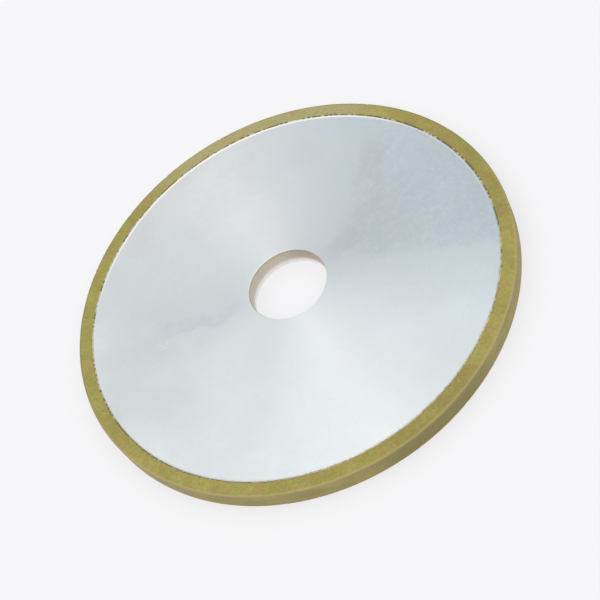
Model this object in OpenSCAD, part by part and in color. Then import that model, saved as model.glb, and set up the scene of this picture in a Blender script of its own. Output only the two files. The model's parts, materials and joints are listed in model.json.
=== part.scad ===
// Straight-type diamond grinding wheel: a turned aluminium core with a resin-bond diamond rim.
// The wheel lies flat. Its axis is +Z and the origin is the centre of its bottom face.
// All sizes are in millimetres.

/* [Wheel] */
// Outside diameter of the finished wheel
wheel_d = 180; // [150:1:250]
// Thickness of the wheel, the same at the core and the rim
wheel_t = 8; // [6:0.5:20]

/* [Diamond rim] */
// Radial depth of the rim, counted from the core and so with the bond layer
rim_depth = 6; // [4:0.5:12]
// Radius that dressing leaves on the rim's two outer corners
rim_corner_r = 0.5; // [0.2:0.1:1.2]

/* [Bond layer] */
// Radial thickness of the diamond-free layer between the core and the rim
bond_t = 0.3; // [0.2:0.1:0.8]

/* [Core] */
// Diameter of the spindle bore
bore_d = 32; // [20:0.05:50.8]
// Chamfer at both ends of the bore
bore_chamfer = 0.2; // [0.2:0.1:1.5]
// Chamfer on the core's outer edges, which also sets how far the bond lies below the faces
core_edge_chamfer = 0.5; // [0.2:0.1:0.6]

/* [Keying grooves] */
// Number of dovetail grooves turned round the core's periphery
groove_count = 3; // [1:1:3]
// Width of each groove at its mouth
groove_w = 0.8; // [0.6:0.1:1]
// Depth of each groove below the core's periphery
groove_depth = 0.8; // [0.4:0.1:1.2]
// How much wider each side of a groove is at its bottom than at its mouth
groove_undercut = 0.15; // [0:0.05:0.2]

/* [Hidden] */
$fn = 256;

wheel_r = wheel_d / 2;
core_r = wheel_r - rim_depth;
rim_inner_r = core_r + bond_t;
bore_r = bore_d / 2;
groove_pitch = wheel_t / (groove_count + 1);

// Corners of one dovetail groove, as [radius, height], from its lower side to its upper side
function groove_points(z) = [
    [core_r, z - groove_w / 2],
    [core_r - groove_depth, z - groove_w / 2 - groove_undercut],
    [core_r - groove_depth, z + groove_w / 2 + groove_undercut],
    [core_r, z + groove_w / 2]
];

// The core's periphery between its two edge chamfers, from the bottom up. The bond layer fills it.
periphery = concat(
    [[core_r, core_edge_chamfer]],
    [for (i = [1 : groove_count]) each groove_points(i * groove_pitch)],
    [[core_r, wheel_t - core_edge_chamfer]]
);

// Turned aluminium body with a chamfered spindle bore and flat flange seats on both faces
module core_disc() {
    color("#cfd6da")
        rotate_extrude()
            polygon(concat(
                [
                    [bore_r, bore_chamfer],
                    [bore_r + bore_chamfer, 0],
                    [core_r - core_edge_chamfer, 0]
                ],
                periphery,
                [
                    [core_r - core_edge_chamfer, wheel_t],
                    [bore_r + bore_chamfer, wheel_t],
                    [bore_r, wheel_t - bore_chamfer]
                ]
            ));
}

// Dark diamond-free resin between core and rim, keyed into the core's grooves
module bond_layer() {
    color("#5a5138")
        rotate_extrude()
            polygon(concat(
                periphery,
                [
                    [rim_inner_r, wheel_t - core_edge_chamfer],
                    [rim_inner_r, core_edge_chamfer]
                ]
            ));
}

// What a rounded corner takes off a square one, with the arc's centre at the origin
module corner_waste(r) {
    difference() {
        square(r);
        circle(r);
    }
}

// Section of the abrasive ring, square at the bond and rounded at its two outer corners
module rim_section() {
    arc_r = wheel_r - rim_corner_r;
    difference() {
        translate([rim_inner_r, 0]) square([wheel_r - rim_inner_r, wheel_t]);
        translate([arc_r, wheel_t - rim_corner_r]) corner_waste(rim_corner_r);
        translate([arc_r, rim_corner_r]) mirror([0, 1]) corner_waste(rim_corner_r);
    }
}

// Resin-bond diamond abrasive ring
module diamond_rim() {
    color("#a69c5f")
        rotate_extrude()
            rim_section();
}

core_disc();
bond_layer();
diamond_rim();
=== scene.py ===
import json
import math
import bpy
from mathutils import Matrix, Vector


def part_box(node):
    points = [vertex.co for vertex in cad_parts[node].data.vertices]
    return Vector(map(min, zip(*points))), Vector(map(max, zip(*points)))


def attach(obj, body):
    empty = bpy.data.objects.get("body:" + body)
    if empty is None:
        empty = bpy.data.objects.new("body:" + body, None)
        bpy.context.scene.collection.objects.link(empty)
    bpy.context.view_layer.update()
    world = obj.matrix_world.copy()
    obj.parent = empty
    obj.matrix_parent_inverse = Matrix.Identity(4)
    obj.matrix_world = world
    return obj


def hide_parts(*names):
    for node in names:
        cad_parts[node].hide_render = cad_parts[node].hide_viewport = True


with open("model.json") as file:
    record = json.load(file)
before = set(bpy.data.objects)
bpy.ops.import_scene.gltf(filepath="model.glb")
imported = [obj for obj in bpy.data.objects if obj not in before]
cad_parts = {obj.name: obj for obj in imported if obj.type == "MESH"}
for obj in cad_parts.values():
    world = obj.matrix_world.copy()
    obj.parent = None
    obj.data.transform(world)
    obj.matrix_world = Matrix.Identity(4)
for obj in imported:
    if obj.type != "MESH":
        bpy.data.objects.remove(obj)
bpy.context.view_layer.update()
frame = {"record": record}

from types import SimpleNamespace

import bpy
import numpy as np
from mathutils import Matrix, Vector

MM = 0.001
TURN = 2 * math.pi
SEED = 20


# ---------------------------------------------------------------- sizes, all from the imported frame

core_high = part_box("core_disc")[1]
bond_low, bond_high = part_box("bond_layer")
rim_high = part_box("diamond_rim")[1]
spindle_bore = next(m for m in frame["record"]["mounts"] if m["name"] == "spindle_bore")

WHEEL_R = rim_high.x
THICKNESS = rim_high.z
CORE_R = core_high.x
SEAM_R = bond_high.x
SEAM_DROP = bond_low.z
BORE_R = spindle_bore["dims"]["r_mm"] * MM
BORE_CHAMFER = (THICKNESS - spindle_bore["dims"]["length_mm"] * MM) / 2

# The same radii and height in mm, as the materials measure them.
WHEEL_EDGE = WHEEL_R / MM
SEAM_EDGE = SEAM_R / MM
BORE_EDGE = BORE_R / MM
TOP_FACE = THICKNESS / MM


# ---------------------------------------------------------------- noise round the wheel

NOISE_WAVES = 24


def ring_noise(angle, seed, slow, fast):
    """Smooth noise from about -1 to 1 that closes on itself, with slow to fast waves a turn."""
    draw = np.random.default_rng(SEED + seed)
    waves = draw.integers(slow, fast + 1, NOISE_WAVES)
    phases = draw.uniform(0, TURN, NOISE_WAVES)
    sizes = draw.uniform(0.5, 1, NOISE_WAVES)
    total = sum(s * np.cos(w * angle + p) for w, p, s in zip(waves, phases, sizes))
    return total / np.sqrt(np.sum(sizes ** 2)) / 1.4


def smooth_step(value, low, high):
    """0 below low, 1 above high, and a smooth ramp between."""
    t = np.clip((value - low) / (high - low), 0, 1)
    return t * t * (3 - 2 * t)


def arcs(angle, spans):
    """How strongly an angle in radians lies in any of the spans.

    Each span is (middle, half width, amount), in degrees.
    """
    turned = np.degrees(angle)
    total = np.zeros_like(turned)
    for middle, half, amount in spans:
        away = np.abs((turned - middle + 180) % 360 - 180)
        total = np.maximum(total, amount * (1 - smooth_step(away, 0.6 * half, 1.3 * half)))
    return total


# ---------------------------------------------------------------- sections and rings

def fillet(before, corner, after, radius, steps):
    """Points of the arc of that radius that rounds a corner between two straight stretches."""
    before, corner, after = (np.array(p, float) for p in (before, corner, after))
    to_before = (before - corner) / np.linalg.norm(before - corner)
    to_after = (after - corner) / np.linalg.norm(after - corner)
    half = math.acos(np.clip(to_before @ to_after, -1, 1)) / 2
    middle = (to_before + to_after) / np.linalg.norm(to_before + to_after)
    centre = corner + middle * radius / math.sin(half)
    start = corner + to_before * radius / math.tan(half) - centre
    end = corner + to_after * radius / math.tan(half) - centre
    sweep = math.pi - 2 * half
    turn = [math.sin(sweep * (1 - k / steps)) for k in range(steps + 1)]
    back = [math.sin(sweep * k / steps) for k in range(steps + 1)]
    return [centre + (a * start + b * end) / math.sin(sweep) for a, b in zip(turn, back)]


ARC_STEPS = 4
EDGE_GUARD = 0.06 * MM


def section(corners):
    """A closed section. Each corner is (radius, height, rounding, longest piece of the next straight).

    A point just beside each rounding keeps the shading of the flats clean.
    """
    rounds = []
    for k, (r, z, rounding, _) in enumerate(corners):
        before, after = corners[k - 1][:2], corners[(k + 1) % len(corners)][:2]
        rounds.append(fillet(before, (r, z), after, rounding, ARC_STEPS))
    points = []
    for k, arc in enumerate(rounds):
        points.extend(arc)
        start, end = arc[-1], rounds[(k + 1) % len(rounds)][0]
        span = np.linalg.norm(end - start)
        guard = min(EDGE_GUARD, span / 4)
        pieces = max(1, math.ceil((span - 2 * guard) / corners[k][3]))
        for step in np.linspace(guard, span - guard, pieces + 1):
            points.append(start + (end - start) * step / span)
    return np.array(points)


def ring(name, outline, steps, relief):
    """A closed ring round Z from a section that runs anticlockwise. The relief moves its points.

    The relief also returns marks: named values at each point, for the material to read.
    """
    angle = np.linspace(0, TURN, steps, endpoint=False)[:, None]
    r = np.tile(outline[:, 0], (steps, 1))
    z = np.tile(outline[:, 1], (steps, 1))
    r, z, marks = relief(angle, r, z)
    points = np.stack([r * np.cos(angle), r * np.sin(angle), z], -1).reshape(-1, 3)
    count = len(outline)
    i, j = np.meshgrid(np.arange(steps), np.arange(count), indexing="ij")
    i2, j2 = (i + 1) % steps, (j + 1) % count
    corners = [i * count + j, i2 * count + j, i2 * count + j2, i * count + j2]
    quads = np.stack(corners, -1).reshape(-1, 4)
    mesh = bpy.data.meshes.new(name)
    mesh.from_pydata(points, [], quads)
    mesh.shade_smooth()
    for mark, values in marks.items():
        layer = mesh.attributes.new(mark, "FLOAT", "POINT")
        layer.data.foreach_set("value", np.ascontiguousarray(values, np.float32).ravel())
    made = bpy.data.objects.new(name, mesh)
    bpy.context.scene.collection.objects.link(made)
    return made


# ---------------------------------------------------------------- the three pieces

# The shallow groove turned beside the rim, and the lip that it leaves at the core's edge.
LIP_TOP = CORE_R - 0.55 * MM
LIP_FOOT = CORE_R - 1.25 * MM
LIP_IN = CORE_R - 1.50 * MM
LIP_HEIGHT = 0.24 * MM
LIP_FADE = 0.85

# How far the bond stands above its CAD top where it is full, its lumps, and how far it has shrunk elsewhere.
BOND_RISE = 0.34 * MM
BOND_LUMP = 0.12 * MM
BOND_SHRINK = 0.12 * MM

# Relief of the dressed rim.
CORNER_R = 0.5 * MM
GRIT_DEPTH = 0.012 * MM
WAVE_DEPTH = 0.02 * MM

# Bites out of the rim's edges: how many, their widths and depths in mm.
EDGE_CHIPS = (150, (0.5, 3.2), (0.10, 0.42))
CORNER_NICKS = (90, (0.4, 1.6), (0.03, 0.12))

# Where the core's lip stands up and carries a painted highlight, where the bond lies open and dark, and where
# the rim's inner edge is chipped. Each span is (middle, half width, amount), in degrees round the wheel.
LIP_HIGHLIGHT_SPANS = ((84, 60, 1.0), (10, 24, 0.33))
OPEN_BOND = ((20, 38, 0.62), (85, 28, 0.5), (210, 32, 0.84), (228, 8, 0.95), (345, 12, 0.4))
CHIPPED_EDGE = ((25, 30, 0.8), (75, 60, 0.4), (205, 45, 1.0), (330, 20, 0.3))
ALL_ROUND = ((0, 180, 0.7),)
# Where the rim's face is paler, and where it is stained brown.
PALER_RIM = ((72, 34, 0.9),)
STAINED_RIM = ((0, 18, 0.8), (184, 12, 0.4), (282, 16, 0.9), (120, 14, 0.4), (22, 6, 0.6), (345, 6, 0.8))


def face_side(z):
    """1 on the upper half of the wheel and -1 on the lower half."""
    return np.where(z > THICKNESS / 2, 1.0, -1.0)


def from_nearer_face(z):
    """Depth below the nearer of the wheel's two faces."""
    return np.minimum(z, THICKNESS - z)


def core_relief(angle, r, z):
    """The facing cut ran a little out of true, so the groove and its lip fade away on one side."""
    # The spans where the lip stands up also carry its painted highlight.
    raised_lip_highlight = arcs(angle, LIP_HIGHLIGHT_SPANS)
    by_rim = (r > LIP_IN - 0.1 * MM) & (r < CORE_R - 0.6 * SEAM_DROP)
    fade = face_side(z) * from_nearer_face(z) * LIP_FADE * (1 - raised_lip_highlight)
    z = z + np.where(by_rim, fade, 0)
    return r, z, {"raised_lip_highlight": np.broadcast_to(raised_lip_highlight, r.shape)}


def make_core():
    """Turned aluminium disc: chamfered bore, a shallow groove that rises to a lip by the rim, chamfers."""
    crisp = 0.05 * MM
    broken = 0.06 * MM
    soft = 0.1 * MM
    low, high = LIP_HEIGHT, THICKNESS - LIP_HEIGHT
    corners = [
        (BORE_R, BORE_CHAMFER, broken, 0.3 * MM),
        (BORE_R + BORE_CHAMFER, 0, broken, 5 * MM),
        (LIP_IN, 0, soft, 1 * MM),
        (LIP_FOOT, low, soft, 1 * MM),
        (LIP_TOP, 0, crisp, 1 * MM),
        (CORE_R - SEAM_DROP, 0, broken, 1 * MM),
        (CORE_R, SEAM_DROP, broken, 3 * MM),
        (CORE_R, THICKNESS - SEAM_DROP, broken, 1 * MM),
        (CORE_R - SEAM_DROP, THICKNESS, broken, 1 * MM),
        (LIP_TOP, THICKNESS, crisp, 1 * MM),
        (LIP_FOOT, high, soft, 1 * MM),
        (LIP_IN, THICKNESS, soft, 5 * MM),
        (BORE_R + BORE_CHAMFER, THICKNESS, broken, 0.3 * MM),
        (BORE_R, THICKNESS - BORE_CHAMFER, broken, 1 * MM),
    ]
    return ring("core_disc_turned", section(corners), steps=720, relief=core_relief)


def bond_relief(angle, r, z):
    """Bond squeezed up nearly level with the faces, or shrunk back into a dark crack."""
    open_here = arcs(angle, OPEN_BOND)
    waves = 0.5 + 0.36 * ring_noise(angle, 1, 60, 280) + 0.32 * ring_noise(angle, 4, 11, 47)
    fill = smooth_step(waves, 0.15 + 0.55 * open_here, 0.40 + 0.55 * open_here)
    lumps = np.clip(0.5 + 0.5 * ring_noise(angle, 2, 200, 600), 0, 1)
    top = np.abs(z - THICKNESS / 2) > THICKNESS / 2 - SEAM_DROP - 0.05 * MM
    inner = r < (CORE_R + SEAM_R) / 2
    lift = fill * (BOND_RISE + BOND_LUMP * lumps) - (1 - fill) * BOND_SHRINK
    z = z + np.where(top, face_side(z) * lift, 0)
    r = r - np.where(top & inner, np.maximum(lift, 0), 0)
    return r, z, {"fill": np.where(top, fill, 0.5)}


def make_seam():
    """Thin bond between core and rim."""
    rounding = 0.04 * MM
    corners = [
        (CORE_R, SEAM_DROP, rounding, 0.1 * MM),
        (SEAM_R, SEAM_DROP, rounding, 3 * MM),
        (SEAM_R, THICKNESS - SEAM_DROP, rounding, 0.1 * MM),
        (CORE_R, THICKNESS - SEAM_DROP, rounding, 3 * MM),
    ]
    return ring("bond_seam", section(corners), steps=2160, relief=bond_relief)


def chips(angle, seed, kind, spans):
    """Small bites out of an edge, as a depth at each angle. Most lie in the spans."""
    count, widths, depths = kind
    draw = np.random.default_rng(SEED + seed)
    places = draw.uniform(0, TURN, count)
    half_widths = draw.uniform(*widths, count) / WHEEL_R * MM / 2
    bites = draw.uniform(*depths, count) * MM
    keeps = draw.uniform(0, 1, count) < 0.15 + 0.85 * arcs(places, spans)
    total = np.zeros_like(angle)
    for place, half, bite in zip(places[keeps], half_widths[keeps], bites[keeps]):
        away = np.abs((angle - place + math.pi) % TURN - math.pi)
        total = np.maximum(total, bite * (1 - smooth_step(away, 0.3 * half, half)))
    return total


def rim_relief(angle, r, z):
    """Dressed abrasive: low waves on its faces, a gritty surface, and chips along its edges."""
    side = face_side(z)
    on_face = 1 - smooth_step(from_nearer_face(z), 0.1 * MM, 0.8 * MM)
    on_wall = smooth_step(r, WHEEL_R - 1.2 * MM, WHEEL_R - 0.3 * MM)
    draw = np.random.default_rng(SEED + 7)
    grit = draw.uniform(0, 1, r.shape) * GRIT_DEPTH
    low_waves = np.clip(0.5 + 0.5 * ring_noise(angle, 3, 5, 40), 0, 1) * WAVE_DEPTH
    z = z - side * on_face * (low_waves + grit)
    r = r - on_wall * (low_waves + grit)
    for sign, seed in ((1, 10), (-1, 11)):
        here = side == sign
        bite = chips(angle, seed, EDGE_CHIPS, CHIPPED_EDGE)
        near = 1 - smooth_step(r - SEAM_R, 0.1 * MM, 0.75 * MM)
        z = z - np.where(here, sign * bite * near * on_face, 0)
        nick = chips(angle, seed + 2, CORNER_NICKS, ALL_ROUND)
        corner = on_wall * on_face
        z = z - np.where(here, sign * nick * corner, 0)
        r = r - np.where(here, nick * corner, 0)
    marks = {"paler": arcs(angle, PALER_RIM), "stain": arcs(angle, STAINED_RIM)}
    return r, z, {mark: np.broadcast_to(values, r.shape) for mark, values in marks.items()}


def make_rim():
    """Resin-bond diamond ring with dressed corners."""
    sharp = 0.12 * MM
    corners = [
        (SEAM_R, 0, sharp, 0.28 * MM),
        (WHEEL_R, 0, CORNER_R, 0.4 * MM),
        (WHEEL_R, THICKNESS, CORNER_R, 0.28 * MM),
        (SEAM_R, THICKNESS, sharp, 1.5 * MM),
    ]
    return ring("diamond_rim_dressed", section(corners), steps=1800, relief=rim_relief)


# ---------------------------------------------------------------- shader nodes

def toward(azimuth, elevation):
    """The unit vector in that direction."""
    a, e = math.radians(azimuth), math.radians(elevation)
    return Vector((math.cos(e) * math.cos(a), math.cos(e) * math.sin(a), math.sin(e)))


class Paint:
    """Adds nodes to one tree. Every helper takes numbers, colours or sockets and returns a socket."""

    def __init__(self, tree):
        self.tree = tree

    def node(self, kind, inputs=(), **settings):
        made = self.tree.nodes.new(kind)
        for name, value in settings.items():
            setattr(made, name, value)
        for k, value in enumerate(inputs):
            self.put(made.inputs[k], value)
        return made

    def put(self, socket, value):
        if isinstance(value, bpy.types.NodeSocket):
            self.tree.links.new(value, socket)
        elif value is not None:
            socket.default_value = value

    def math(self, operation, *inputs):
        return self.node("ShaderNodeMath", inputs, operation=operation).outputs[0]

    def vector(self, operation, *inputs):
        return self.node("ShaderNodeVectorMath", inputs, operation=operation).outputs["Vector"]

    def measure(self, operation, *inputs):
        return self.node("ShaderNodeVectorMath", inputs, operation=operation).outputs["Value"]

    def scaled(self, place, factor):
        made = self.node("ShaderNodeVectorMath", (place,), operation="SCALE")
        self.put(made.inputs["Scale"], factor)
        return made.outputs["Vector"]

    def join(self, x, y, z):
        return self.node("ShaderNodeCombineXYZ", (x, y, z)).outputs[0]

    def split(self, place):
        return self.node("ShaderNodeSeparateXYZ", (place,)).outputs

    def noise(self, place, scale, detail=2.0, rough=0.5):
        made = self.node("ShaderNodeTexNoise")
        self.put(made.inputs["Vector"], place)
        self.put(made.inputs["Scale"], scale)
        self.put(made.inputs["Detail"], detail)
        self.put(made.inputs["Roughness"], rough)
        return made.outputs[0]

    def noise_colour(self, place, scale, detail):
        """Three noises at once, each about 0.5."""
        made = self.node("ShaderNodeTexNoise")
        self.put(made.inputs["Vector"], place)
        self.put(made.inputs["Scale"], scale)
        self.put(made.inputs["Detail"], detail)
        return made.outputs["Color"]

    def cells(self, place, scale):
        made = self.node("ShaderNodeTexVoronoi")
        self.put(made.inputs["Vector"], place)
        self.put(made.inputs["Scale"], scale)
        return made.outputs["Distance"], made.outputs["Color"]

    def step(self, value, low, high, start=0.0, end=1.0):
        """start up to low, end from high on, and a smooth ramp between. low may be the larger one."""
        inputs = (value, low, high, start, end)
        return self.node("ShaderNodeMapRange", inputs, interpolation_type="SMOOTHSTEP").outputs[0]

    def blend(self, factor, first, second):
        made = self.node("ShaderNodeMix", data_type="RGBA")
        self.put(made.inputs[0], factor)
        self.put(made.inputs[6], first if isinstance(first, bpy.types.NodeSocket) else (*first, 1))
        self.put(made.inputs[7], second if isinstance(second, bpy.types.NodeSocket) else (*second, 1))
        return made.outputs[2]

    def wash(self, colour, value, low, high, amount, tint):
        """The colour, with up to amount of the tint in it as the value goes from low to high."""
        return self.blend(self.step(value, low, high, 0.0, amount), colour, tint)

    def product(self, first, *others):
        for other in others:
            first = self.math("MULTIPLY", first, other)
        return first

    def mark(self, name):
        """A value that the piece's relief left on its points."""
        return self.node("ShaderNodeAttribute", attribute_name=name).outputs["Fac"]

    def along(self, place, direction):
        """How far the place lies that way, in degrees round Z."""
        return self.measure("DOT_PRODUCT", place, toward(direction, 0))

    def wheel(self):
        """Place in mm, the outward direction and the radius in mm."""
        place = self.scaled(self.node("ShaderNodeTexCoord").outputs["Object"], 1 / MM)
        flat = self.vector("MULTIPLY", place, (1, 1, 0))
        outward = self.vector("NORMALIZE", flat)
        radius = self.measure("LENGTH", flat)
        return place, outward, radius

    def turned(self, outward, lane, pitch, stretch):
        """A place for noise that is fine across the lane (radius or height) and long round the axis."""
        spread = self.split(self.scaled(outward, stretch))
        return self.join(self.math("MULTIPLY", lane, pitch), spread[0], spread[1])

    def bump(self, height, distance, strength, normal=None):
        made = self.node("ShaderNodeBump")
        self.put(made.inputs["Height"], height)
        self.put(made.inputs["Distance"], distance)
        self.put(made.inputs["Strength"], strength)
        self.put(made.inputs["Normal"], normal)
        return made.outputs["Normal"]


def new_material(name, **sockets):
    """A Principled material with its even values set on the shader."""
    material = bpy.data.materials.new(name)
    material.use_nodes = True
    shader = material.node_tree.nodes["Principled BSDF"]
    for socket, value in sockets.items():
        shader.inputs[socket.replace("_", " ")].default_value = value
    return material, Paint(material.node_tree), shader.inputs


# ---------------------------------------------------------------- the aluminium core's looks

CLEAN_METAL = ((0.805, 0.82, 0.83), (0.825, 0.835, 0.84))
# Painted dark reflection, for the wedge on the faces.
DARK_REFLECTION_METAL = (0.725, 0.785, 0.825)
DARK_MOTTLE = (0.66, 0.70, 0.73)
PALE_MOTTLE = (0.94, 0.94, 0.93)
TURNED_BAND = (0.85, 0.85, 0.85)
TURNED_LINE = (0.70, 0.72, 0.74)
DARK_SPECK = (0.68, 0.71, 0.73)
PALE_FLECK = (0.93, 0.93, 0.92)
SCRATCH_METAL = (0.93, 0.93, 0.93)
# Painted highlight on the core's lip.
LIP_HIGHLIGHT_METAL = (0.89, 0.85, 0.79)

# The bore's wall: its two sides, painted lit towards -X and painted shaded towards +X, the painted shade by
# its top edge, its turning streaks, and painted light on its lower part.
BORE_LIT_AND_SHADED = ((0.69, 0.64, 0.53), (0.54, 0.47, 0.40))
BORE_SHADE = (0.42, 0.36, 0.29)
BORE_STREAK = (0.45, 0.39, 0.32)
BORE_LOWER_LIGHT = (0.98, 0.96, 0.94)
# The painted highlight in a ring round the bore, strongest in this direction.
BORE_RING_HIGHLIGHT = (0.95, 0.92, 0.80)
BORE_HIGHLIGHT_SIDE = 112

# Broad tints of painted reflection: direction in degrees, distance in mm where each starts and is full,
# colour.
REFLECTION_TINTS = (
    (20, 14, 80, (0.75, 0.81, 0.845)),
    (122, 5, 85, (0.775, 0.76, 0.755)),
    (205, 0, 75, (0.845, 0.885, 0.89)),
)

# A wedge of painted dark reflection on both faces: where its corner is, in mm, and the directions of its two
# edges.
DARK_WEDGE_CORNER = (22, -1, 0)
DARK_WEDGE_EDGES = (-37, 46)

# Fine scratches on the top face, each (middle x, middle y, direction, half length, half width, amount), in mm
# and degrees.
SCRATCHES = (
    (-50.5, -3.5, 286, 19.0, 0.20, 0.9),
    (-54.5, 8.5, 300, 3.6, 0.30, 1.6),
    (-52.0, 8.0, 262, 3.0, 0.28, 1.6),
    (-33.0, 31.0, 31, 9.0, 0.10, 0.6),
    (24.0, 52.0, 148, 11.0, 0.09, 0.5),
    (38.0, -41.0, 72, 8.0, 0.10, 0.5),
    (57.0, 12.0, 12, 7.0, 0.12, 0.6),
    (-12.0, -58.0, 165, 10.0, 0.08, 0.5),
)

# Cloudy smudges on the top face, some of them painted reflection, in the same units, each with its colour.
BLUE_GREY = (0.71, 0.75, 0.775)
WARM_GREY = (0.69, 0.70, 0.705)
WARM_WHITE = (0.89, 0.855, 0.845)
SMUDGES_AND_REFLECTIONS = (
    ((-4.0, 54.0, 112, 34.0, 22.0, 0.55), WARM_WHITE),
    ((-36.0, 8.0, 160, 25.0, 5.0, 0.75), BLUE_GREY),
    ((53.0, 28.0, 59, 27.0, 7.0, 0.5), WARM_GREY),
    ((28.0, 1.5, 15, 13.0, 5.5, 0.6), BLUE_GREY),
    ((47.0, 12.0, 12, 24.0, 5.0, 0.35), BLUE_GREY),
    ((66.0, -22.0, 320, 22.0, 5.0, 0.15), BLUE_GREY),
    ((30.0, 60.0, 130, 18.0, 9.0, 0.15), WARM_GREY),
)

# How far, in mm, the outlines of smudges and painted reflections wander.
WANDER = 16.0
# How much the flanks of the turning marks lean the shading outwards, and how deep the marks are.
OUTWARD_LEAN = 0.08
TURNING_DEPTH = 0.0013 * MM


def stroke(paint, place, x, y, direction, half_length, half_width, amount):
    """A mask that is amount on one straight stroke, fading at its sides and ends."""
    moved = paint.vector("SUBTRACT", place, (x, y, 0))
    far = paint.math("ABSOLUTE", paint.along(moved, direction))
    off = paint.math("ABSOLUTE", paint.along(moved, direction + 90))
    ends = paint.step(far, half_length * 0.3, half_length, amount, 0.0)
    return paint.product(ends, paint.step(off, half_width * 0.3, half_width, 1.0, 0.0))


def core_noises(paint, place, outward, radius, height):
    """The noises that the looks of the aluminium share, and a warped place for wandering outlines."""
    lane = paint.math("MULTIPLY_ADD", height, 1.7, radius)
    wandered = paint.vector("ADD", place, paint.scaled(paint.noise_colour(place, 0.09, 4.0), WANDER))
    return SimpleNamespace(
        fine=paint.noise(paint.turned(outward, lane, 5.5, 7.0), 1.0, 2.0),
        bands=paint.noise(paint.turned(outward, lane, 0.7, 2.2), 1.0, 3.0),
        haze=paint.noise(place, 0.035, 2.0),
        patches=paint.noise(paint.vector("ADD", place, (9, 31, 5)), 0.055, 4.0, 0.6),
        cloud=paint.noise(place, 0.22, 5.0, 0.68),
        mottle=paint.noise(place, 0.42, 4.0, 0.7),
        specks=paint.noise(place, 1.3, 4.0, 0.65),
        warped=paint.vector("SUBTRACT", wandered, (WANDER / 2, WANDER / 2, WANDER / 2)),
    )


def dark_reflection_wedge(paint, warped):
    """A mask of the wedge of painted dark reflection."""
    from_corner = paint.vector("SUBTRACT", warped, DARK_WEDGE_CORNER)
    above = paint.step(paint.along(from_corner, DARK_WEDGE_EDGES[0] + 90), -3, 4)
    below = paint.step(paint.along(from_corner, DARK_WEDGE_EDGES[1] - 90), -5, 6)
    return paint.product(above, below)


def reflected_metal(paint, noise, place, reflection_wedge):
    """Clean metal under broad tints of painted reflection, the blotched wedge of painted dark reflection, and
    a fine mottle.
    """
    colour = paint.blend(noise.haze, *CLEAN_METAL)
    strength = paint.step(noise.patches, 0.40, 0.60, 0.55, 1.1)
    # Each tint paints reflection of the light round the wheel.
    for direction, start, full, tint in REFLECTION_TINTS:
        zone = paint.step(paint.along(place, direction), start, full)
        colour = paint.blend(paint.product(zone, strength), colour, tint)
    blotches = paint.noise(noise.warped, 0.08, 3.0, 0.6)
    mottled = paint.step(paint.math("MULTIPLY_ADD", noise.cloud, 0.5, blotches), 0.62, 0.86, 0.15, 1.0)
    # The wedge paints a darker reflection into the colour.
    colour = paint.blend(paint.product(reflection_wedge, mottled, 0.55), colour, DARK_REFLECTION_METAL)
    uneven = paint.math("MULTIPLY_ADD", reflection_wedge, 0.20, 0.07)
    dark = paint.product(uneven, paint.step(noise.mottle, 0.48, 0.68))
    pale = paint.product(uneven, paint.step(noise.mottle, 0.50, 0.32))
    return paint.blend(pale, paint.blend(dark, colour, DARK_MOTTLE), PALE_MOTTLE)


def smudged_and_reflected(paint, noise, on_top, colour):
    """The cloudy smudges and painted reflections on the top face."""
    clouded = paint.product(on_top, paint.step(noise.cloud, 0.30, 0.62, 0.35, 1.0))
    for line, tint in SMUDGES_AND_REFLECTIONS:
        # Some of these marks are painted reflection.
        cloud_mark = paint.product(stroke(paint, noise.warped, *line), clouded)
        colour = paint.blend(cloud_mark, colour, tint)
    return colour


def machined(paint, noise, reflection_wedge, colour):
    """Turning bands and lines, dark specks, and pale flecks that gather in the wedge of painted dark
    reflection.
    """
    colour = paint.wash(colour, noise.bands, 0.35, 0.7, 0.18, TURNED_BAND)
    colour = paint.wash(colour, noise.fine, 0.5, 0.75, 0.06, TURNED_LINE)
    colour = paint.wash(colour, noise.specks, 0.60, 0.74, 0.30, DARK_SPECK)
    clumped = paint.product(reflection_wedge, paint.step(noise.cloud, 0.56, 0.40))
    clumped = paint.math("MULTIPLY_ADD", clumped, 0.75, 0.12)
    flecks = paint.product(paint.step(noise.specks, 0.44, 0.34), clumped)
    return paint.blend(flecks, colour, PALE_FLECK)


def bored(paint, noise, outward, radius, height, colour):
    """The wall of the bore, painted lighter towards -X and darker towards +X, painted bright towards its
    bottom, and a painted highlight ring round its edges.
    """
    in_bore = paint.step(radius, BORE_EDGE + 0.12, BORE_EDGE + 0.04)
    # Painted shade: the wall darker towards +X.
    wall = paint.blend(paint.step(paint.split(outward)[0], 0.0, 0.9), *BORE_LIT_AND_SHADED)
    wall = paint.wash(wall, height, TOP_FACE - 1.4, TOP_FACE - 0.4, 0.5, BORE_SHADE)
    wall = paint.wash(wall, noise.specks, 0.46, 0.66, 0.35, BORE_STREAK)
    # Painted light: the lower part of the wall bright.
    wall = paint.wash(wall, paint.math("ADD", height, noise.specks), 4.1, 1.3, 1.0, BORE_LOWER_LIGHT)
    colour = paint.blend(in_bore, colour, wall)
    # Painted highlight: a ring round the bore.
    bore_highlight = paint.step(radius, BORE_EDGE + 1.0, BORE_EDGE + 0.4)
    side = paint.step(paint.along(outward, BORE_HIGHLIGHT_SIDE), 0.35, 0.9, 0.0, 0.8)
    bore_highlight = paint.product(bore_highlight, paint.math("SUBTRACT", 1.0, in_bore), side)
    return paint.blend(bore_highlight, colour, BORE_RING_HIGHLIGHT)


def scratches(paint, place, on_top):
    """A mask of all the scratches."""
    marks = 0.0
    for line in SCRATCHES:
        marks = paint.math("MAXIMUM", marks, stroke(paint, place, *line))
    return paint.product(marks, on_top)


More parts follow.
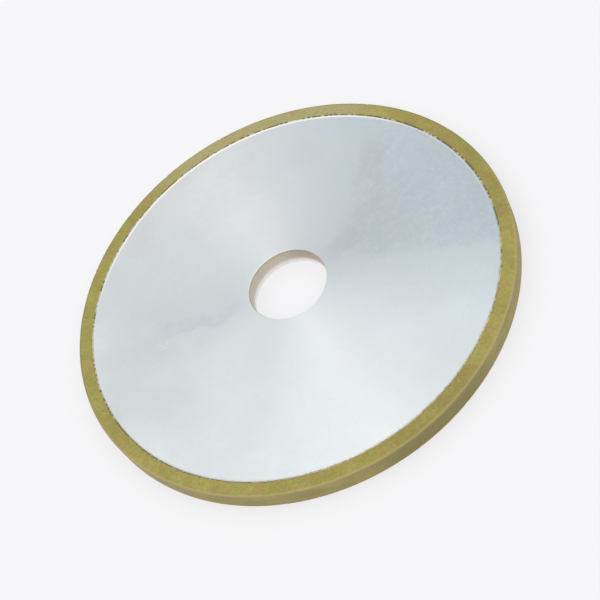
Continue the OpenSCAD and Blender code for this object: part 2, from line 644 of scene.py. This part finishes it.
def aluminium():
    """Face-turned aluminium: fine rings, a faint haze, painted reflections and highlights, and scratches."""
    material, paint, inputs = new_material(
        "turned_aluminium", Metallic=1.0, Anisotropic=0.95, Anisotropic_Rotation=0.25)
    place, outward, radius = paint.wheel()
    height = paint.split(place)[2]
    on_top = paint.step(height, TOP_FACE - 0.3, TOP_FACE - 0.2)
    noise = core_noises(paint, place, outward, radius, height)
    reflection_wedge = dark_reflection_wedge(paint, noise.warped)
    lip = paint.step(radius, (LIP_FOOT + LIP_IN) / 2 / MM, LIP_FOOT / MM)
    lip = paint.product(lip, paint.mark("raised_lip_highlight"))
    marks = scratches(paint, place, on_top)

    colour = reflected_metal(paint, noise, place, reflection_wedge)
    colour = smudged_and_reflected(paint, noise, on_top, colour)
    colour = machined(paint, noise, reflection_wedge, colour)
    colour = bored(paint, noise, outward, radius, height, colour)
    # Painted highlight on the lip.
    colour = paint.blend(paint.product(lip, paint.step(noise.fine, 0.3, 0.7, 1.0, 0.75)), colour, LIP_HIGHLIGHT_METAL)
    colour = paint.blend(paint.product(marks, 0.5), colour, SCRATCH_METAL)
    paint.put(inputs["Base Color"], colour)

    rough = paint.step(noise.haze, 0.3, 0.7, 0.37, 0.42)
    rough = paint.math("MULTIPLY_ADD", noise.fine, 0.05, rough)
    rough = paint.math("MULTIPLY_ADD", reflection_wedge, 0.03, rough)
    rough = paint.math("MULTIPLY_ADD", lip, -0.12, rough)
    paint.put(inputs["Roughness"], rough)

    facing = paint.node("ShaderNodeNewGeometry").outputs["Normal"]
    leaning = paint.vector("NORMALIZE", paint.vector("ADD", facing, paint.scaled(outward, OUTWARD_LEAN)))
    relief = paint.math("MULTIPLY_ADD", noise.bands, 0.6, noise.fine)
    relief = paint.math("MULTIPLY_ADD", marks, -0.8, relief)
    paint.put(inputs["Normal"], paint.bump(relief, TURNING_DEPTH, 1.0, leaning))
    tangent = paint.node("ShaderNodeTangent", direction_type="RADIAL", axis="Z")
    paint.put(inputs["Tangent"], tangent.outputs[0])
    return material


# ---------------------------------------------------------------- the bond's and the rim's looks

PALE_BOND = ((0.40, 0.36, 0.22), (0.58, 0.54, 0.42))
DARK_BOND = ((0.10, 0.08, 0.045), (0.29, 0.24, 0.13))

OLIVE = ((0.325, 0.28, 0.066), (0.40, 0.345, 0.092))
RUSTY = (0.40, 0.285, 0.105)
GREENISH = (0.33, 0.325, 0.085)
STAIN = (0.285, 0.235, 0.062)
PALER_TINT = (0.46, 0.42, 0.235)
MOTTLE = ((0.22, 0.19, 0.055), (0.49, 0.44, 0.16))
GRIT = ((0.15, 0.12, 0.04), (0.58, 0.53, 0.27))
PORE = (0.09, 0.07, 0.035)
SEAM_GRIME = (0.15, 0.12, 0.06)
# The outer corner, painted light towards -Y and painted shade towards +Y.
CORNER_LIGHT_AND_SHADE = ((0.48, 0.425, 0.18), (0.20, 0.18, 0.07))

# The outer wall: its middle and its brown bands by the corners, then what lies over them.
WALL = ((0.37, 0.335, 0.12), (0.405, 0.305, 0.135))
WALL_PATCH = (0.29, 0.24, 0.085)
WALL_LANES = ((0.24, 0.20, 0.08), (0.45, 0.41, 0.20))
WALL_GRIT = (0.15, 0.12, 0.055)
WALL_STAIN = (0.195, 0.17, 0.065)


def bond_resin():
    """Bond line: pale smeared residue where it is full, dark and porous where it has shrunk back."""
    material, paint, inputs = new_material("bond_residue", Specular_IOR_Level=0.35)
    place = paint.wheel()[0]
    grain = paint.noise(place, 3.0, 4.0, 0.6)
    smear = paint.noise(place, 0.7, 3.0)
    full = paint.step(paint.math("MULTIPLY_ADD", grain, 0.5, paint.mark("fill")), 0.5, 1.1)
    pale = paint.blend(paint.step(smear, 0.35, 0.65), *PALE_BOND)
    dark = paint.blend(paint.step(grain, 0.35, 0.65), *DARK_BOND)
    paint.put(inputs["Base Color"], paint.blend(full, dark, pale))
    paint.put(inputs["Roughness"], paint.step(grain, 0.3, 0.7, 0.5, 0.75))
    paint.put(inputs["Normal"], paint.bump(grain, 0.06 * MM, 0.8))
    return material


def rim_noises(paint, place):
    """The noises that the looks of the rim share."""
    return SimpleNamespace(
        patches=paint.noise(place, 0.09, 4.0, 0.6),
        tints=paint.noise(paint.vector("ADD", place, (40, 7, 3)), 0.22, 3.0, 0.6),
        mottle=paint.noise(place, 0.9, 4.0, 0.65),
        grit=paint.noise(place, 5.0, 3.0, 0.7),
    )


def dressed_face(paint, noise):
    """Patchy olive resin with stains, a paler stretch, mottle and grit."""
    colour = paint.blend(paint.step(noise.patches, 0.38, 0.62), *OLIVE)
    colour = paint.wash(colour, noise.tints, 0.51, 0.66, 0.8, RUSTY)
    colour = paint.wash(colour, noise.tints, 0.49, 0.36, 0.7, GREENISH)
    stained = paint.product(paint.mark("stain"), paint.step(noise.tints, 0.38, 0.58, 0.35, 0.8))
    colour = paint.blend(stained, colour, STAIN)
    paled = paint.product(paint.mark("paler"), paint.step(noise.patches, 0.40, 0.62, 0.75, 0.35))
    colour = paint.blend(paled, colour, PALER_TINT)
    colour = paint.wash(colour, noise.mottle, 0.48, 0.68, 0.38, MOTTLE[0])
    colour = paint.wash(colour, noise.mottle, 0.47, 0.32, 0.32, MOTTLE[1])
    colour = paint.wash(colour, noise.grit, 0.56, 0.74, 0.36, GRIT[0])
    return paint.wash(colour, noise.grit, 0.42, 0.28, 0.28, GRIT[1])


def worn_wall(paint, noise, outward, height, near_face):
    """The outer wall, browner by its corners, with patches, trueing lanes, grit and stains."""
    lanes = paint.noise(paint.turned(outward, height, 1.6, 5.0), 1.0, 4.0, 0.6)
    worn = paint.blend(paint.step(near_face, 2.6, 0.6), *WALL)
    worn = paint.wash(worn, noise.patches, 0.42, 0.58, 0.6, WALL_PATCH)
    worn = paint.wash(worn, lanes, 0.46, 0.62, 0.65, WALL_LANES[0])
    worn = paint.wash(worn, lanes, 0.46, 0.32, 0.5, WALL_LANES[1])
    worn = paint.wash(worn, noise.grit, 0.54, 0.74, 0.4, WALL_GRIT)
    return paint.blend(paint.product(paint.mark("stain"), 0.75), worn, WALL_STAIN)


def pores(paint, noise, place):
    """A mask of a few ragged pores."""
    distance, cell = paint.cells(place, 0.22)
    rare = paint.step(paint.split(cell)[0], 0.86, 0.88)
    ragged = paint.math("MULTIPLY_ADD", noise.grit, 0.10, distance)
    return paint.product(rare, paint.step(ragged, 0.15, 0.09))


def grime_and_corner_shading(paint, outward, radius, near_face, colour):
    """Grime along the seam, and painted light and shade on the outer corners."""
    inner = paint.step(radius, SEAM_EDGE + 0.75, SEAM_EDGE + 0.1)
    soot = paint.noise(paint.turned(outward, radius, 0.8, 46.0), 1.0, 3.0)
    grime = paint.product(inner, paint.step(soot, 0.52, 0.66), 0.4)
    colour = paint.blend(grime, colour, SEAM_GRIME)
    by_corner = paint.step(radius, WHEEL_EDGE - 1.1, WHEEL_EDGE - 0.4)
    by_corner = paint.product(by_corner, paint.step(near_face, 0.9, 0.4), 0.45)
    # Painted light and shade on the outer corners.
    corner_light = paint.blend(paint.step(paint.split(outward)[1], -0.3, 0.3), *CORNER_LIGHT_AND_SHADE)
    return paint.blend(by_corner, colour, corner_light)


def diamond_resin():
    """Olive resin bond with patchy colour, fine diamond grit, pores, and trueing lines on the outer wall."""
    material, paint, inputs = new_material("diamond_grit_resin", Specular_IOR_Level=0.3)
    place, outward, radius = paint.wheel()
    height = paint.split(place)[2]
    near_face = paint.math("MINIMUM", height, paint.math("SUBTRACT", TOP_FACE, height))
    noise = rim_noises(paint, place)
    wall = paint.step(radius, WHEEL_EDGE - 0.55, WHEEL_EDGE - 0.12)
    spots = pores(paint, noise, place)

    worn = worn_wall(paint, noise, outward, height, near_face)
    colour = paint.blend(paint.product(wall, 0.8), dressed_face(paint, noise), worn)
    colour = paint.blend(paint.product(spots, 0.75), colour, PORE)
    colour = grime_and_corner_shading(paint, outward, radius, near_face, colour)
    paint.put(inputs["Base Color"], colour)

    rough = paint.step(noise.mottle, 0.3, 0.7, 0.56, 0.74)
    paint.put(inputs["Roughness"], paint.math("MULTIPLY_ADD", wall, -0.06, rough))

    lines = paint.noise(paint.turned(outward, paint.math("ADD", height, radius), 3.0, 9.0), 1.0, 3.0)
    relief = paint.math("MULTIPLY_ADD", noise.mottle, 0.8, noise.grit)
    relief = paint.math("MULTIPLY_ADD", paint.product(wall, lines), 0.7, relief)
    relief = paint.math("MULTIPLY_ADD", spots, -1.2, relief)
    paint.put(inputs["Normal"], paint.bump(relief, 0.05 * MM, 0.5))
    return material


# ---------------------------------------------------------------- the floor's looks

PAPER = ((0.30, 0.296, 0.304), (0.32, 0.316, 0.32))
PAPER_GLOW = (1.0, 1.0, 1.02, 1)
PAPER_GLOW_STRENGTH = 0.61


def floor_paper():
    """Lit white paper: partly glowing, so that the wheel casts only a short soft shadow."""
    material, paint, inputs = new_material("floor_paper", Roughness=0.9, Specular_IOR_Level=0.1)
    place = paint.scaled(paint.node("ShaderNodeTexCoord").outputs["Object"], 1 / MM)
    grain = paint.noise(place, 1.2, 3.0)
    paint.put(inputs["Base Color"], paint.blend(grain, *PAPER))
    inputs["Emission Color"].default_value = PAPER_GLOW
    inputs["Emission Strength"].default_value = PAPER_GLOW_STRENGTH
    paint.put(inputs["Normal"], paint.bump(grain, 0.02 * MM, 0.2))
    return material


# ---------------------------------------------------------------- the pieces in place

core = make_core()
seam = make_seam()
rim = make_rim()
core.data.materials.append(aluminium())
seam.data.materials.append(bond_resin())
rim.data.materials.append(diamond_resin())

for piece, node, slot in (
    (core, "core_disc", "aluminium_core"),
    (seam, "bond_layer", "dark_bond"),
    (rim, "diamond_rim", "diamond_resin"),
):
    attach(piece, "root")
    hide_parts(node)


# ---------------------------------------------------------------- studio

# Soft lights round the wheel: azimuth and elevation in degrees, tightness, and colour added or held back.
SOFT_LIGHTS = {
    "window_behind_left": (130, 40, 12, (0.52, 0.435, 0.385)),
    "dark_gap_behind_right": (62, 35, 16, (-0.46, -0.385, -0.30)),
    "blue_card_behind_right": (62, 65, 12, (0.11, 0.24, 0.26)),
    "fill_right": (0, 30, 12, (0.08, 0.07, 0.05)),
    "flag_above_back": (90, 65, 12, (-0.43, -0.39, -0.40)),
    "warm_ceiling": (260, 65, 6, (0.39, 0.27, 0.21)),
    "narrow_lamp_overhead": (270, 78, 320, (1.45, 1.35, 1.3)),
}
HORIZON = (0.30, 0.27, 0.27)
ZENITH_GAIN = (1.06, 1.12, 1.15)
ZENITH_POWER = 1.3
DARKEST = (0.02, 0.02, 0.02)


def make_studio():
    """A pale tent that brightens overhead, with soft lights and dark cards in it."""
    world = bpy.data.worlds.new("studio")
    bpy.context.scene.world = world
    world.use_nodes = True
    paint = Paint(world.node_tree)
    looking = paint.node("ShaderNodeTexCoord").outputs["Generated"]
    rise = paint.math("MAXIMUM", paint.split(looking)[2], 0.0)
    rise = paint.math("POWER", rise, ZENITH_POWER)
    light = paint.vector("MULTIPLY_ADD", paint.join(rise, rise, rise), ZENITH_GAIN, HORIZON)
    for azimuth, elevation, tightness, colour in SOFT_LIGHTS.values():
        facing = paint.measure("DOT_PRODUCT", looking, toward(azimuth, elevation))
        glow = paint.math("EXPONENT", paint.math("MULTIPLY_ADD", facing, tightness, -tightness))
        light = paint.vector("MULTIPLY_ADD", paint.join(glow, glow, glow), colour, light)
    light = paint.vector("MAXIMUM", light, DARKEST)
    background = world.node_tree.nodes["Background"]
    paint.put(background.inputs["Color"], light)


def make_floor():
    """A square of paper just under the wheel."""
    half = 3.0
    z = -0.0001
    corners = [(-half, -half, z), (half, -half, z), (half, half, z), (-half, half, z)]
    mesh = bpy.data.meshes.new("floor")
    mesh.from_pydata(corners, [], [(0, 1, 2, 3)])
    floor = bpy.data.objects.new("floor", mesh)
    bpy.context.scene.collection.objects.link(floor)
    floor.data.materials.append(floor_paper())


# The camera's tilt and roll in degrees, and its place to the right, upwards and back, in wheel radii.
CAMERA_ELEVATION = 50.34
CAMERA_ROLL = 33.11
CAMERA_PLACE = (0.0224, -0.0222, 5.921)
CAMERA_LENS_MM = 81.7


def make_camera():
    """Camera high in front and rolled, with a long lens."""
    elevation = math.radians(CAMERA_ELEVATION)
    roll = math.radians(CAMERA_ROLL)
    aside, above, away = CAMERA_PLACE
    right = Vector((1, 0, 0))
    up = Vector((0, math.sin(elevation), math.cos(elevation)))
    back = Vector((0, -math.cos(elevation), math.sin(elevation)))
    rolled_right = math.cos(roll) * right - math.sin(roll) * up
    rolled_up = math.sin(roll) * right + math.cos(roll) * up
    place = (aside * rolled_right + above * rolled_up + away * back) * WHEEL_R
    data = bpy.data.cameras.new("camera")
    data.lens = CAMERA_LENS_MM
    data.sensor_width = 36
    data.clip_start = 0.01
    camera = bpy.data.objects.new("camera", data)
    bpy.context.scene.collection.objects.link(camera)
    turn = Matrix((rolled_right, rolled_up, back)).transposed()
    camera.matrix_world = Matrix.Translation(place) @ turn.to_4x4()
    bpy.context.scene.camera = camera


make_floor()
make_camera()
make_studio()
bpy.context.scene.view_settings.view_transform = "Standard"
